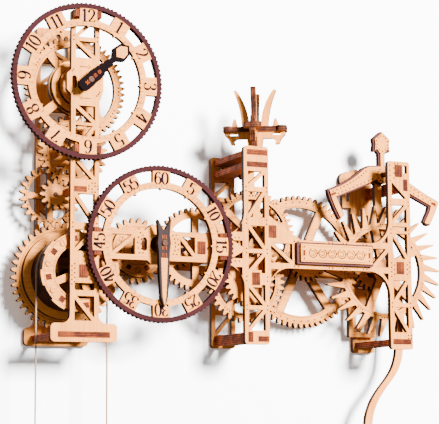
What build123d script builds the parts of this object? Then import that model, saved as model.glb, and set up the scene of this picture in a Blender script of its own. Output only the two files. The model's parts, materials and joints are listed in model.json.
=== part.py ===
from build123d import *
import os
from math import acos, atan2, cos, degrees, hypot, pi, radians, sin, sqrt, tan

# A mechanical pendulum wall clock of laser-cut plywood. Millimetres throughout.
# It is drawn in a bench frame: X to the right, Y from the front towards the wall, Z up,
# with Y = 0 on the front face of the front plates, Z = 0 at the foot of the centre tower
# and X = 0 on its middle. finish_node() then moves everything so that the origin is the
# nail hole at the top of the back centre tower, on the face that touches the wall.

# ---------------------------------------------------------------- driving dimensions
PLY = 4.0                  # plywood thickness
BACK = 57.6                # front face of the back plates
WALL = BACK + PLY          # plane of the wall
RAIL = 3.2                 # width of a tower's side rails
BAR = 2.6                  # width of a truss diagonal

NAIL_HEIGHT = 135.5        # hanging hole in the back centre tower
NAIL_R = 1.75

CENTRE_LEFT, CENTRE_RIGHT, CENTRE_TOP = -9.9, 9.9, 144.5
RIGHT_LEFT, RIGHT_RIGHT, RIGHT_FOOT, RIGHT_TOP = 111.3, 130.3, -1.7, 141.0
LEFT_LEFT, LEFT_RIGHT, LEFT_TOP = -142.8, -121.9, 232.0
FOOT_LEFT, FOOT_RIGHT, FOOT_LOW, FOOT_HIGH = -156.6, -108.3, -0.5, 12.2
BEAM_LOW, BEAM_HIGH = 56.0, 77.0
ARM_LOW, ARM_HIGH = 57.6, 78.6
BEAM_JOINT = 76.0          # where the two halves of the beam meet, behind the nameplate

DIAL_R = 55.6              # outside of a dial's rim
RIM_INNER_R = 51.8
BAND_OUTER_R, BAND_INNER_R = 44.0, 39.4
DIAL_FRONT = -6.0
TAB_WIDTH = 13.0
HAND_GAP = 1.2             # between a dial and its hand
HAND_Y = DIAL_FRONT - HAND_GAP - PLY

KEEPER_WIDTH, KEEPER_HEIGHT = 6.0, 9.0     # small blocks let into the front plates
KEEPER_PROUD = 1.0                         # how far they stand out of them

DOWEL_R = 1.5              # fixed arbors that the wheels turn on
ARBOR_R = 2.0              # arbors that turn
RUNNING = 0.1              # radial clearance of a running fit
SLEEVE_R = 3.4             # glued sleeve that joins a wheel to its pinion
DRUM_SLEEVE_R = 4.5

PRESSURE = radians(24)     # pressure angle of every tooth
ADDENDUM, DEDENDUM = 0.92, 1.28
BACKLASH = 0.42            # play between meshed teeth, at the pitch circle

# Front faces of the layers between the two frames.
DRUM_DISC_Y = 6.0
FIRST_WHEEL_Y = 10.0
SECOND_WHEEL_Y = 16.0
HOUR_WHEEL_Y = 20.0
ESCAPE_Y = 24.0
ROD_Y = 30.0
MOTION_Y = 31.0
THIRD_WHEEL_Y = 32.0
HANGER_Y = 37.5
GREAT_Y = 42.0
RING_Y = 44.0
BRACKET_Y = 49.5

# Tooth counts and modules. The minute arbor turns once an hour, the hour arbor at 1/12
# of that, and the escape wheel 120 times an hour.
GREAT_TEETH, MINUTE_TEETH, TRANSFER_TEETH, FIRST_PINION_TEETH = 42, 26, 24, 12
GREAT_M = 1.75
TRANSFER_PINION_TEETH, MOTION_TEETH, MOTION_M = 12, 30, 1.65
MOTION_PINION_TEETH, HOUR_TEETH, HOUR_M = 10, 52, 1.4
FIRST_TEETH, SECOND_PINION_TEETH, FIRST_M = 40, 26, 1.45
SECOND_TEETH, THIRD_PINION_TEETH, SECOND_M = 40, 10, 1.5
THIRD_TEETH, RING_PINION_TEETH, THIRD_M = 45, 20, 1.5
RING_TEETH, ESCAPE_PINION_TEETH, RING_M = 64, 16, 1.55
ESCAPE_SPIKES, ESCAPE_TIP_R, ESCAPE_ROOT_R, ESCAPE_INNER_R = 30, 50.5, 37.0, 32.5

SWING = 2.0                # degrees either way: the pallets stay clear of the spikes over it
PALLET_GAP = 3.4             # between the pallets at rest and the circle of the spikes
PALLET_REACH = 53.0          # from the pivot to a pallet's tip
INLAY_MARGIN = 1.2           # how far the dark plate shows round the inlay
INLAY_PLY = 1.5
HUB_R = 6.4                  # the anchor's hub
END_PLAY = 0.3               # free length at either end of the anchor's arbor
BOB_DROP = 248.0           # from the pivot to the middle of the bob, a half period of 0.5 s
BOB_R = 28.0

FINIAL_X, FINIAL_Y = 4.0, 9.0
FINIAL_ARM_Z = 156.6
FINIAL_TURN = -32.0          # degrees that its first plate is turned from the clock's front
FINIAL_REACH = 23.5

CORD_R = 0.6
BARREL_R = 25.3
CORD_WRAP_R = BARREL_R + CORD_R + 0.3
CORD_Y = 23.0
CORD_LOW = -64.0
HOOK_EYE_R, HOOK_DROP, HOOK_PLY = 3.8, 9.5, 3.0


# ---------------------------------------------------------------- where the arbors are
def step_towards(start, target, distance):
    length = hypot(target[0] - start[0], target[1] - start[1])
    share = distance / length
    return (start[0] + (target[0] - start[0]) * share, start[1] + (target[1] - start[1]) * share)


def third_corner(first, second, from_first, from_second, side):
    """The point at given distances from two others, on the left (1) or right (-1) of their line."""
    base = hypot(second[0] - first[0], second[1] - first[1])
    along = (from_first**2 - from_second**2 + base**2) / (2 * base)
    across = side * sqrt(from_first**2 - along**2)
    ux, uz = (second[0] - first[0]) / base, (second[1] - first[1]) / base
    return (first[0] + along * ux - across * uz, first[1] + along * uz + across * ux)


def mesh_distance(first_teeth, second_teeth, module):
    return (first_teeth + second_teeth) * module / 2


MINUTE = (-77.4, 68.8)
HOUR = (-132.5, 180.5)
ESCAPE = (120.3, 59.5)
PIVOT = (120.3, 133.7)

DRUM = step_towards(MINUTE, (-132.2, 48.6), mesh_distance(GREAT_TEETH, MINUTE_TEETH, GREAT_M))
TRANSFER = step_towards(DRUM, (-143.2, 105.5), mesh_distance(GREAT_TEETH, TRANSFER_TEETH, GREAT_M))
MOTION = third_corner(
    TRANSFER,
    HOUR,
    mesh_distance(TRANSFER_PINION_TEETH, MOTION_TEETH, MOTION_M),
    mesh_distance(MOTION_PINION_TEETH, HOUR_TEETH, HOUR_M),
    -1,
)
FIRST = step_towards(MINUTE, (-44.2, 68.0), mesh_distance(MINUTE_TEETH, FIRST_PINION_TEETH, GREAT_M))
SECOND = step_towards(FIRST, (-1.25, 47.5), mesh_distance(FIRST_TEETH, SECOND_PINION_TEETH, FIRST_M))
RING = step_towards(ESCAPE, (58.6, 66.3), mesh_distance(RING_TEETH, ESCAPE_PINION_TEETH, RING_M))
THIRD = third_corner(
    SECOND,
    RING,
    mesh_distance(SECOND_TEETH, THIRD_PINION_TEETH, SECOND_M),
    mesh_distance(THIRD_TEETH, RING_PINION_TEETH, THIRD_M),
    1,
)


TIE_X = (-7.5, 9.3)                        # the two upper ties of the centre tower
UPPER_TIES = ((138.0, 142.0), (129.0, 133.0))
HANGER_LEFT = 5.3                          # how far the hanger is let into the ties' right edges
BRACKET_TENON = (-140.5, -131.0)           # small shelf on the left column
BRACKET_LEVEL = (TRANSFER[1] - PLY / 2, TRANSFER[1] + PLY / 2)
BRACKET_DEPTH = 24.0
TRANSFER_DOWEL_Y = MOTION_Y - 1.0          # front end of the transfer dowel


def meshed_phase(first_teeth, first_phase, first, second_teeth, second):
    """The turn, in degrees, that puts the second gear's teeth in the first gear's gaps."""
    line = degrees(atan2(second[1] - first[1], second[0] - first[0]))
    share = ((line - first_phase) * first_teeth / 360) % 1
    return line + 180 - (0.5 - share) * 360 / second_teeth


# ---------------------------------------------------------------- drawing helpers
def outline(points):
    return make_face(Polyline(*points, close=True))


def slab(face, front, thickness=PLY):
    """A flat piece of ply: a face drawn in X and Z, from its front face towards the wall."""
    plane = Plane(origin=(0, front, 0), x_dir=(1, 0, 0), z_dir=(0, -1, 0))
    return plane * extrude(face, amount=-thickness)


def at(point, shape):
    return Pos(point[0], point[1]) * shape


def box(x0, x1, y0, y1, z0, z1):
    return Pos((x0 + x1) / 2, (y0 + y1) / 2, (z0 + z1) / 2) * Box(x1 - x0, y1 - y0, z1 - z0)


def area(x0, x1, z0, z1, corner=0.0):
    flat = Rectangle(x1 - x0, z1 - z0) if corner == 0 else RectangleRounded(x1 - x0, z1 - z0, corner)
    return Pos((x0 + x1) / 2, (z0 + z1) / 2) * flat


def rod(centre, y0, y1, radius):
    return slab(at(centre, Circle(radius)), y0, y1 - y0)


def truss_window(x0, x1, z0, z1, lean):
    """Two triangles either side of a diagonal bar. lean is 1 for a bar that rises to the right."""
    slope = atan2(z1 - z0, x1 - x0)
    up = BAR / 2 / cos(slope)
    along = BAR / 2 / sin(slope)
    upper = [(x0, z1), (x0, z0 + up), (x1 - along, z1)]
    lower = [(x1, z0), (x1, z1 - up), (x0 + along, z0)]
    if lean < 0:
        middle = x0 + x1
        upper = [(middle - x, z) for x, z in upper]
        lower = [(middle - x, z) for x, z in lower]
    return [outline(upper), outline(lower)]


def truss(face, x0, x1, windows):
    for z0, z1, lean in windows:
        for triangle in truss_window(x0, x1, z0, z1, lean):
            face -= triangle
    return face


def corner_web(x, z, across, up, radius):
    """The web that fills an inner corner, with a hollow arc between the two edges it joins."""
    far_x, far_z = x + across * radius, z + up * radius
    square = area(min(x, far_x), max(x, far_x), min(z, far_z), max(z, far_z))
    return square - at((far_x, far_z), Circle(radius))


NODES = {}


def finish_node(name, *solids):
    moved = [Pos(0, -WALL, -NAIL_HEIGHT) * solid for solid in solids]
    NODES[name] = moved


# ---------------------------------------------------------------- gears
def involute(angle):
    return tan(angle) - angle


def tooth_half_angle(teeth, module, radius):
    pitch_r = teeth * module / 2
    base_r = pitch_r * cos(PRESSURE)
    at_pitch = pi / (2 * teeth) - BACKLASH / 2 / (2 * pitch_r)
    reach = acos(min(1.0, base_r / radius))
    return at_pitch + involute(PRESSURE) - involute(reach)


def gear_outline(teeth, module, phase):
    """Straight-flanked cut of an involute gear, as a laser leaves it."""
    pitch_r = teeth * module / 2
    tip_r = pitch_r + ADDENDUM * module
    root_r = pitch_r - DEDENDUM * module
    under_r = max(root_r, pitch_r * cos(PRESSURE))
    low_r = (under_r + pitch_r) / 2
    high_r = (tip_r + pitch_r) / 2
    half = [(r, tooth_half_angle(teeth, module, r)) for r in (low_r, high_r, tip_r)]
    root_half = min(half[0][1], pi / (2 * teeth) * 1.05)
    half.insert(0, (root_r, root_half))
    points = []
    for tooth in range(teeth):
        middle = radians(phase) + 2 * pi * tooth / teeth
        for r, angle in half:
            points.append((r * cos(middle - angle), r * sin(middle - angle)))
        for r, angle in reversed(half):
            points.append((r * cos(middle + angle), r * sin(middle + angle)))
    return outline(points)


def spoke_windows(inner_r, outer_r, count, width, phase, corner):
    """Windows between spokes of an even width, with rounded corners."""
    ring = Circle(outer_r) - Circle(inner_r)
    for spoke in range(count):
        ring -= Rot(0, 0, phase + 360 * spoke / count) * Pos(outer_r, 0) * Rectangle(2 * outer_r, width)
    rounded = Sketch()
    for window in ring.faces():
        rounded += fillet(window.vertices(), corner)
    return rounded


def wheel(centre, teeth, module, phase, front, bore_r, windows=None):
    face = gear_outline(teeth, module, phase) - Circle(bore_r)
    if windows:
        face -= windows
    return slab(at(centre, face), front)


def pinion_on_sleeve(centre, teeth, module, phase, front, sleeve_from, sleeve_to):
    """A pinion and the sleeve that carries its wheel, glued up as one piece, bored to run on a dowel."""
    bore = Circle(DOWEL_R + RUNNING)
    pinion = slab(at(centre, gear_outline(teeth, module, phase) - bore), front)
    sleeve = slab(at(centre, Circle(SLEEVE_R) - bore), sleeve_from, sleeve_to - sleeve_from)
    return pinion + sleeve


# ---------------------------------------------------------------- the two frames
def front_left_tower():
    face = area(LEFT_LEFT, LEFT_RIGHT, FOOT_LOW + 4, LEFT_TOP, 2.0)
    face += area(FOOT_LEFT, FOOT_RIGHT, FOOT_LOW, FOOT_HIGH, 3.0)
    face += corner_web(LEFT_LEFT, FOOT_HIGH, -1, 1, 6.0)
    face += corner_web(LEFT_RIGHT, FOOT_HIGH, 1, 1, 6.0)
    face += at(HOUR, RegularPolygon(14.6, 8, rotation=22.5))
    inner_left, inner_right = LEFT_LEFT + RAIL, LEFT_RIGHT - RAIL
    windows = [(14, 31, -1), (62, 77, 1), (82, 102, -1), (112, 127, -1), (131, 150, 1), (152, 164, -1)]
    windows += [(198, 210, -1), (213, 226, 1)]
    face = truss(face, inner_left, inner_right, windows)
    face -= area(inner_left, inner_right, 35, 40, 1.0)
    face -= area(-151.5, -113.5, 2.5, 6.5)
    face -= area(*BRACKET_TENON, *BRACKET_LEVEL)
    face -= keeper_area(DRUM)
    face -= at(MOTION, Circle(DOWEL_R))
    face -= at(HOUR, Circle(ARBOR_R + RUNNING))
    face -= at((HOUR[0] - 8.0, HOUR[1]), SlotOverall(9.0, 3.6, rotation=90))
    return slab(face, 0)


def arm_outline(left, right):
    face = area(left, right, ARM_LOW, ARM_HIGH)
    face += at(MINUTE, RegularPolygon(15.0, 8, rotation=22.5))
    face = truss(face, -112.0, -95.0, [(61.2, 75.2, 1)])
    return truss(face, -60.5, -49.0, [(61.2, 75.2, -1)])


def front_minute_arm():
    face = arm_outline(LEFT_RIGHT, CENTRE_LEFT - 12.0)
    face -= at((MINUTE[0] - 10.5, MINUTE[1]), SlotOverall(9.5, 4.2, rotation=90))
    face -= at(MINUTE, Circle(6.0))
    face -= keeper_area(FIRST)
    return slab(face, 0)


CENTRE_WINDOWS = [(10, 25, 1), (28, 43, -1), (51.5, 66, 1), (69, 86, -1), (92, 111, 1), (114.5, 126, 1)]


def centre_outline(windows):
    face = area(CENTRE_LEFT, CENTRE_RIGHT, 0, CENTRE_TOP, 2.5)
    face += area(CENTRE_LEFT - 12.0, CENTRE_LEFT, ARM_LOW, ARM_HIGH)
    face += area(CENTRE_RIGHT, BEAM_JOINT, BEAM_LOW, BEAM_HIGH)
    for up, edge in ((1, ARM_HIGH), (-1, ARM_LOW)):
        face += corner_web(CENTRE_LEFT, edge, -1, up, 17.0)
    face += corner_web(CENTRE_RIGHT, BEAM_LOW, 1, -1, 17.0)
    face += outline([(CENTRE_RIGHT, BEAM_HIGH), (36.0, BEAM_HIGH), (CENTRE_RIGHT, 94.0)])
    face = truss(face, CENTRE_LEFT + RAIL, CENTRE_RIGHT - RAIL, windows)
    face -= outline([(-20.0, ARM_LOW + 4), (CENTRE_LEFT - 1.5, ARM_LOW + 4), (CENTRE_LEFT - 1.5, 66.5)])
    face -= outline([(-20.0, ARM_HIGH - 4), (CENTRE_LEFT - 1.5, ARM_HIGH - 4), (CENTRE_LEFT - 1.5, 70.0)])
    face -= outline([(-17.0, ARM_HIGH + 2.2), (-11.6, ARM_HIGH + 2.2), (-11.6, ARM_HIGH + 9.0)])
    face -= outline([(-17.0, ARM_LOW - 2.2), (-11.6, ARM_LOW - 2.2), (-11.6, ARM_LOW - 9.0)])
    face = truss(face, CENTRE_RIGHT + 1.5, 29.0, [(59.5, 74.0, -1)])
    face -= outline([(11.4, BEAM_LOW - 1.0), (18.0, BEAM_LOW - 1.0), (11.4, BEAM_LOW - 8.0)])
    return face


def centre_tie_slots():
    """Slots for the ends of the four ties behind the centre tower."""
    slots = area(-7.5, -3.5, 1.5, 9.0) + area(0.5, TIE_X[1], 2, 6)
    for z0, z1 in UPPER_TIES:
        slots += area(*TIE_X, z0, z1)
    return slots


def front_centre_tower():
    face = centre_outline(CENTRE_WINDOWS)
    face += at(SECOND, area(-4.6, 4.6, -6.2, 6.2))
    face -= centre_tie_slots()
    face -= keeper_area(SECOND)
    face -= keeper_area(THIRD)
    face -= at(RING, Circle(DOWEL_R))
    return slab(face, 0)


RIGHT_WINDOWS = [(11, 30, -1), (33, 50, 1), (66.5, 85.5, -1), (94, 107.5, 1)]


def right_outline(windows):
    face = area(RIGHT_LEFT, RIGHT_RIGHT, RIGHT_FOOT, RIGHT_TOP, 2.0)
    face += area(BEAM_JOINT, RIGHT_LEFT, BEAM_LOW, BEAM_HIGH)
    for up, edge in ((1, BEAM_HIGH), (-1, BEAM_LOW)):
        face += corner_web(RIGHT_LEFT, edge, -1, up, 17.5)
    face = truss(face, RIGHT_LEFT + RAIL, RIGHT_RIGHT - RAIL, windows)
    face -= outline([(97.0, 73.4), (108.6, 73.4), (97.0, 61.2)])
    face -= outline([(110.4, 71.4), (110.4, 59.4), (99.0, 59.4)])
    face -= outline([(105.4, BEAM_HIGH + 1.0), (110.2, BEAM_HIGH + 1.0), (110.2, BEAM_HIGH + 7.0)])
    face -= outline([(105.4, BEAM_LOW - 1.0), (110.2, BEAM_LOW - 1.0), (110.2, BEAM_LOW - 7.0)])
    return face


def front_right_tower():
    face = right_outline(RIGHT_WINDOWS)
    face -= area(RIGHT_LEFT + RAIL, RIGHT_RIGHT - RAIL, 87.5, 91.0)
    face -= outline([(114.5, 112.5), (127.1, 112.5), (114.5, 125.0)])
    face -= area(113, 129.0, 2, 6)
    face -= area(124.5, 128.5, 118.5, 127.5)
    face -= area(125.0, 128.2, 132, 138)
    face -= keeper_area(ESCAPE)
    face -= keeper_area(PIVOT)
    return slab(face, 0)


def back_left_tower():
    face = area(-149.0, LEFT_RIGHT, FOOT_LOW + 4, LEFT_TOP, 2.0)
    face += area(FOOT_LEFT, FOOT_RIGHT, FOOT_LOW, FOOT_HIGH, 3.0)
    face += corner_web(-149.0, FOOT_HIGH, -1, 1, 6.0)
    face += corner_web(LEFT_RIGHT, FOOT_HIGH, 1, 1, 6.0)
    face += arm_outline(LEFT_RIGHT, CENTRE_LEFT - 12.0)
    windows = [(14, 36, -1), (58, 80, 1), (83, 99, -1), (112, 130, 1), (144, 170, -1)]
    windows += [(190, 206, 1), (209, 220, -1)]
    face = truss(face, -149.0 + RAIL, LEFT_RIGHT - RAIL, windows)
    face -= area(-151.5, -113.5, 2.5, 6.5)
    for centre in (DRUM, TRANSFER, MOTION, FIRST):
        face -= at(centre, Circle(DOWEL_R))
    for centre in (HOUR, MINUTE):
        face -= at(centre, Circle(ARBOR_R + RUNNING))
    face -= at((HOUR[0], LEFT_TOP - 5.5), Circle(NAIL_R))
    return slab(face, BACK)


def back_centre_tower():
    face = centre_outline(CENTRE_WINDOWS[:2] + [(54, 66, 1)] + CENTRE_WINDOWS[3:])
    face += at(SECOND, Circle(6.0))
    face -= centre_tie_slots()
    face -= at((0, NAIL_HEIGHT), Circle(NAIL_R))
    face -= at(SECOND, Circle(DOWEL_R))
    face -= at(RING, Circle(DOWEL_R))
    return slab(face, BACK)


def back_right_tower():
    face = right_outline([(11, 30, 1), (33, 50, -1), (67, 86, 1), (88.5, 107, -1)])
    face += area(104.0, RIGHT_LEFT, 112.0, 137.0)
    face += at((108.0, 134.0), Circle(6.5))
    face += area(108.0, 116.0, 128.0, RIGHT_TOP)
    face += at((116.0, 136.5), Circle(6.5))
    face -= area(106.5, 109.8, 117.0, 128.0, 1.0)
    face -= area(113, 129.0, 2, 6)
    face -= area(124.5, 128.5, 118.5, 127.5)
    face -= at(ESCAPE, Circle(DOWEL_R))
    face -= at(PIVOT, Circle(ARBOR_R + RUNNING))
    face -= at((RIGHT_RIGHT - 5.0, RIGHT_TOP - 4.0), Circle(NAIL_R))
    return slab(face, BACK)


# ---------------------------------------------------------------- ties, keepers, dowels
def keeper_area(centre):
    return at(centre, Rectangle(KEEPER_WIDTH, KEEPER_HEIGHT))


def keeper(centre, bore_r):
    """A plug that closes the front plate over the end of an arbor, bored from the back."""
    return slab(keeper_area(centre), -KEEPER_PROUD, PLY + KEEPER_PROUD) - rod(centre, 0, PLY, bore_r)


def tie_plank(x0, x1, z0, z1):
    """A level or upright plank whose two ends fill slots in the front and back plates."""
    return box(x0, x1, 0, WALL, z0, z1)


def slotted_tie(x0, x1, z0, z1):
    """A level tie with one long window, which leaves a rail either side."""
    return tie_plank(x0, x1, z0, z1) - box(x0 + PLY, x1 - PLY, PLY + 6.0, BACK - 6.0, z0, z1)


def hanger_tie(z0, z1):
    """An upper tie, notched on its right edge where the hanger is let in."""
    return tie_plank(*TIE_X, z0, z1) - box(HANGER_LEFT, TIE_X[1], HANGER_Y, HANGER_Y + PLY, z0, z1)


def transfer_bracket():
    """A short tongue through the left column."""
    return box(*BRACKET_TENON, 0, BRACKET_DEPTH, *BRACKET_LEVEL)


def minute_bearing():
    """The disc behind the minute arm that the minute arbor turns in."""
    return slab(at(MINUTE, Circle(9.0) - Circle(ARBOR_R + RUNNING)), PLY)


def inner_hanger():
    """Hangs from the upper ties and holds the back end of the third arbor, before the ring wheel."""
    face = area(HANGER_LEFT, 17.0, 126, CENTRE_TOP, 2.0)
    face += outline([(8.5, 127), (17.0, 127), (THIRD[0] + 5, THIRD[1] + 4), (THIRD[0] - 4, THIRD[1] + 4)])
    face += at(THIRD, Circle(6.0))
    face -= at(THIRD, Circle(DOWEL_R))
    return slab(face, HANGER_Y)


def right_bracket():
    """A small bridge that stands on the back right tower behind the escape wheel, on two tenons."""
    face = area(104.0, 128.0, 10.0, 48.0, 1.0)
    face -= area(107.5, 124.5, 14.0, 34.0, 1.0)
    frame = slab(face, BRACKET_Y + 1)
    tenons = [box(x - 2.5, x + 2.5, BRACKET_Y, BACK, 38.0, 44.0) for x in (112.0, 122.0)]
    for tenon in tenons:
        frame -= tenon
    return [frame] + tenons


# ---------------------------------------------------------------- dials
def around(centre, radius, turn):
    """A point at a clock angle: degrees clockwise from twelve."""
    return (centre[0] + radius * sin(radians(turn)), centre[1] + radius * cos(radians(turn)))


def dial_rim(centre):
    """The dark ring round a dial, finely notched on its outside."""
    notches, depth = 104, 0.8
    points = []
    for step in range(notches * 4):
        lift = depth if step % 4 in (1, 2) else 0.0
        points.append(around((0, 0), DIAL_R - depth + lift, 360 * step / (notches * 4)))
    return slab(at(centre, outline(points) - Circle(RIM_INNER_R)), DIAL_FRONT - 0.6, PLY + 0.6)


def dial_ring(centre):
    """The minute band and the twelve tabs that carry the numerals out to the rim."""
    face = Circle(BAND_OUTER_R)
    for hour in range(12):
        tab_length = RIM_INNER_R - BAND_OUTER_R + 6
        tab = Pos(0, (BAND_OUTER_R + RIM_INNER_R) / 2) * Rectangle(TAB_WIDTH, tab_length)
        face += Rot(0, 0, 30 * hour) * tab
    face = face & Circle(RIM_INNER_R)
    face -= Circle(BAND_INNER_R)
    for hour in range(12):
        point = outline([(-1.6, BAND_INNER_R + 0.8), (1.6, BAND_INNER_R + 0.8), (0, BAND_INNER_R - 1.4)])
        face += Rot(0, 0, 30 * hour) * point
    return slab(at(centre, face), DIAL_FRONT)


def dial_posts():
    """Pairs of pegs that hold each dial off the front plates, beside two opposite numerals."""
    posts = []
    pegs_out = (RIM_INNER_R + BAND_OUTER_R) / 2
    side = TAB_WIDTH / 2 + 1.5
    peg = Rectangle(3.0, 5.2)
    for across in (-side, side):
        for along in (-pegs_out, pegs_out):
            upright = at(HOUR, Pos(across, along) * peg)
            level = at(MINUTE, Pos(along, across) * Rot(0, 0, 90) * peg)
            for face in (upright, level):
                posts.append(slab(face, DIAL_FRONT - 0.8, 0.8 - DIAL_FRONT))
    return posts


# ---------------------------------------------------------------- hands
def hour_hand():
    """A baton with a shield at its tip, drawn upright and turned to the hour it rests at."""
    half = [(2.0, -9.5), (4.4, -6.5), (4.6, -1.5), (4.2, 2.0), (4.6, 6.0), (4.0, 10.5), (2.6, 12.0)]
    half += [(3.4, 14.0), (2.2, 16.0), (3.0, 18.5), (2.0, 21.0), (2.2, 24.0)]
    half += [(6.0, 28.5), (5.2, 34.5), (0, 39.0)]
    points = half + [(-x, z) for x, z in reversed(half[:-1])]
    face = outline(points) - Circle(ARBOR_R)
    return slab(at(HOUR, Rot(0, 0, -47) * face), HAND_Y)


def minute_hand():
    """A lance with a forked tail, drawn upright and turned to half past."""
    half = [(1.0, -9.5), (4.6, -16.5), (5.0, -15.0), (4.2, -6.0), (5.0, 0)]
    half += [(4.2, 6.0), (3.6, 24.0), (2.6, 38.0)]
    points = half + [(0, 45.0)] + [(-x, z) for x, z in reversed(half)]
    face = outline(points) - Circle(ARBOR_R)
    return slab(at(MINUTE, Rot(0, 0, 180) * face), HAND_Y)


def turning_arbor(centre, front):
    return rod(centre, front, WALL - 0.5, ARBOR_R)


# ---------------------------------------------------------------- drum
def drum_barrel():
    """The barrel the cord lies on, and the sleeve through the whole drum that turns on the dowel."""
    shell_length = GREAT_Y - DRUM_DISC_Y - 2 * PLY
    shell = slab(at(DRUM, Circle(BARREL_R) - Circle(20.0)), DRUM_DISC_Y + PLY, shell_length)
    sleeve_face = Circle(DRUM_SLEEVE_R) - Circle(DOWEL_R + RUNNING)
    sleeve = slab(at(DRUM, sleeve_face), DRUM_DISC_Y, GREAT_Y + PLY - DRUM_DISC_Y)
    return shell, sleeve


def drum_front_disc():
    """Stepped disc: eight screws and eight tenon ends on one circle, four windows inside."""
    face = Circle(27.6)
    for step in range(8):
        pad = Circle(28.8) & (Pos(27, 0) * Rectangle(14, 11.0))
        face += Rot(0, 0, 45 * step + 10) * pad
    face -= spoke_windows(7.5, 18.5, 4, 5.0, 22.5, 1.5)
    face -= Circle(DRUM_SLEEVE_R)
    return slab(at(DRUM, face), DRUM_DISC_Y)


def drum_rear_flange():
    face = Circle(31.0) - Circle(DRUM_SLEEVE_R)
    return slab(at(DRUM, face), GREAT_Y - PLY)


def drum_screws():
    screws = []
    for step in range(8):
        x, z = around(DRUM, 23.4, 45 * step + 12)
        head = rod((x, z), DRUM_DISC_Y - 1.0, DRUM_DISC_Y, 2.4)
        turned = Pos(x, DRUM_DISC_Y - 1.0, z) * Rot(0, 35 * step, 0) * Box(5.6, 1.0, 0.7)
        screws.append(head - turned)
    return screws


# ---------------------------------------------------------------- escapement and pendulum
def escape_wheel():
    spikes = []
    lean = 4.5
    for spike in range(ESCAPE_SPIKES):
        middle = 360 * spike / ESCAPE_SPIKES
        spikes.append(around((0, 0), ESCAPE_ROOT_R, middle - 4.6))
        spikes.append(around((0, 0), ESCAPE_TIP_R, middle - 0.7 + lean))
        spikes.append(around((0, 0), ESCAPE_TIP_R, middle + 0.5 + lean))
        spikes.append(around((0, 0), ESCAPE_ROOT_R, middle + 3.4))
    face = outline(spikes) - Circle(SLEEVE_R)
    face -= spoke_windows(9.0, ESCAPE_INNER_R, 5, 6.0, 30, 2.5)
    return slab(at(ESCAPE, face), ESCAPE_Y)


def anchor_arms():
    """Two arms that differ a little, each with its pallet, from the pivot."""
    left = [
        ThreePointArc((-16.5, 3.8), (-28.5, -5.4), (-47.1, -14.2)),
        ThreePointArc((-47.1, -14.2), (-43.5, -23.9), (-37.0, -36.0)),
        Polyline((-37.0, -36.0), (-34.9, -33.0), (-41.6, -18.8), (1.0, -1.0), (1.0, 6.8), (-12.3, 5.7),
                 (-16.5, 3.8)),
    ]
    right = [
        ThreePointArc((8.0, 6.0), (24.7, -5.6), (49.9, -18.6)),
        ThreePointArc((49.9, -18.6), (46.3, -26.9), (41.5, -36.2)),
        Polyline((41.5, -36.2), (36.9, -35.6), (41.7, -26.5), (43.2, -21.6), (25.1, -13.4), (12.0, -5.2),
                 (3.0, -2.8), (-1.0, -1.6), (-1.0, 6.8), (8.0, 6.0)),
    ]
    return make_face(left) + make_face(right)


def anchor_face(hub_r, margin):
    """The arms, the stem and the arrowhead, grown by the margin, clear of the circle of the spikes."""
    face = anchor_arms()
    face += area(-1.6, 1.6, 5.0, 20.0)
    head = [(1.6, 17.0), (4.6, 20.5), (6.4, 19.5), (5.8, 24.0), (6.4, 28.0)]
    face += outline(head + [(0, 33.2)] + [(-x, z) for x, z in reversed(head)])
    if margin:
        face = offset(face, amount=margin)
    face += Circle(hub_r)
    face -= at((ESCAPE[0] - PIVOT[0], ESCAPE[1] - PIVOT[1]), Circle(ESCAPE_TIP_R + PALLET_GAP))
    return face - Circle(ARBOR_R)


# How far the rod's middle lies right of the pivot, at each depth below it.
ROD_ROUTE = [(0, 0), (18, 0), (74, 13.5), (129, 17.0), (148, 12.5)]
ROD_ROUTE += [(166, -1.5), (190, -12.0), (222, -6.0), (BOB_DROP, 0)]


def pendulum_rod():
    """A wavy strip that passes right of the escape arbor and of the lower tie, then swings back left."""
    half_width = 3.1
    left = [(x - half_width, -drop) for drop, x in ROD_ROUTE]
    right = [(x + half_width, -drop) for drop, x in ROD_ROUTE]
    sides = [Spline(*left, tangents=[(0, -1), (0, -1)]), Spline(*right, tangents=[(0, -1), (0, -1)])]
    ends = [Line(left[0], right[0]), Line(left[-1], right[-1])]
    face = make_face([sides[0], ends[1], sides[1], ends[0]])
    face += Circle(7.0)
    face -= Circle(ARBOR_R)
    return slab(at(PIVOT, face), ROD_Y)


def pendulum_bob():
    """Two round plates glued to the front and back of the rod's end."""
    centre = (PIVOT[0], PIVOT[1] - BOB_DROP)
    front = slab(at(centre, Circle(BOB_R)), ROD_Y - PLY)
    back = slab(at(centre, Circle(BOB_R)), ROD_Y + PLY)
    return [front, back]


# ---------------------------------------------------------------- nameplate and finial
def nameplate_frame():
    return slab(area(31.0, 95.0, 59.0, 75.2, 0.8), -3.6, 3.6)


def nameplate_panel():
    return slab(area(33.2, 93.2, 60.6, 73.8, 0.6), -5.6, 2.0)


def finial_profile():
    """Stem, two hooked arms and two curved horns, right and left of X = 0, from the arms' top edge."""
    foot = CENTRE_TOP - 2.5 - FINIAL_ARM_Z
    arm = [(0, 0), (22.0, 0), (22.5, -2.2), (19.5, -5.2), (17.8, -9.2), (14.8, -9.4), (15.4, -6.4)]
    arm += [(13.0, -5.0), (6.0, -5.0), (4.8, foot), (0, foot)]
    face = outline(arm)
    inner = ThreePointArc((4.6, 0), (6.4, 17.0), (13.8, 31.6))
    outer = ThreePointArc((15.8, 31.0), (11.4, 17.0), (9.6, 0))
    face += make_face([inner, Line((13.8, 31.6), (15.8, 31.0)), outer, Line((9.6, 0), (4.6, 0))])
    face += outline([(12.4, 0), (18.0, 0), (17.0, 6.0), (15.8, 9.8), (14.4, 9.8), (13.4, 6.0)])
    face -= area(12.8, 18.8, -2.6, -1.0)
    return Pos(0, FINIAL_ARM_Z) * (face + mirror(face, about=Plane.YZ))


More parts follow.
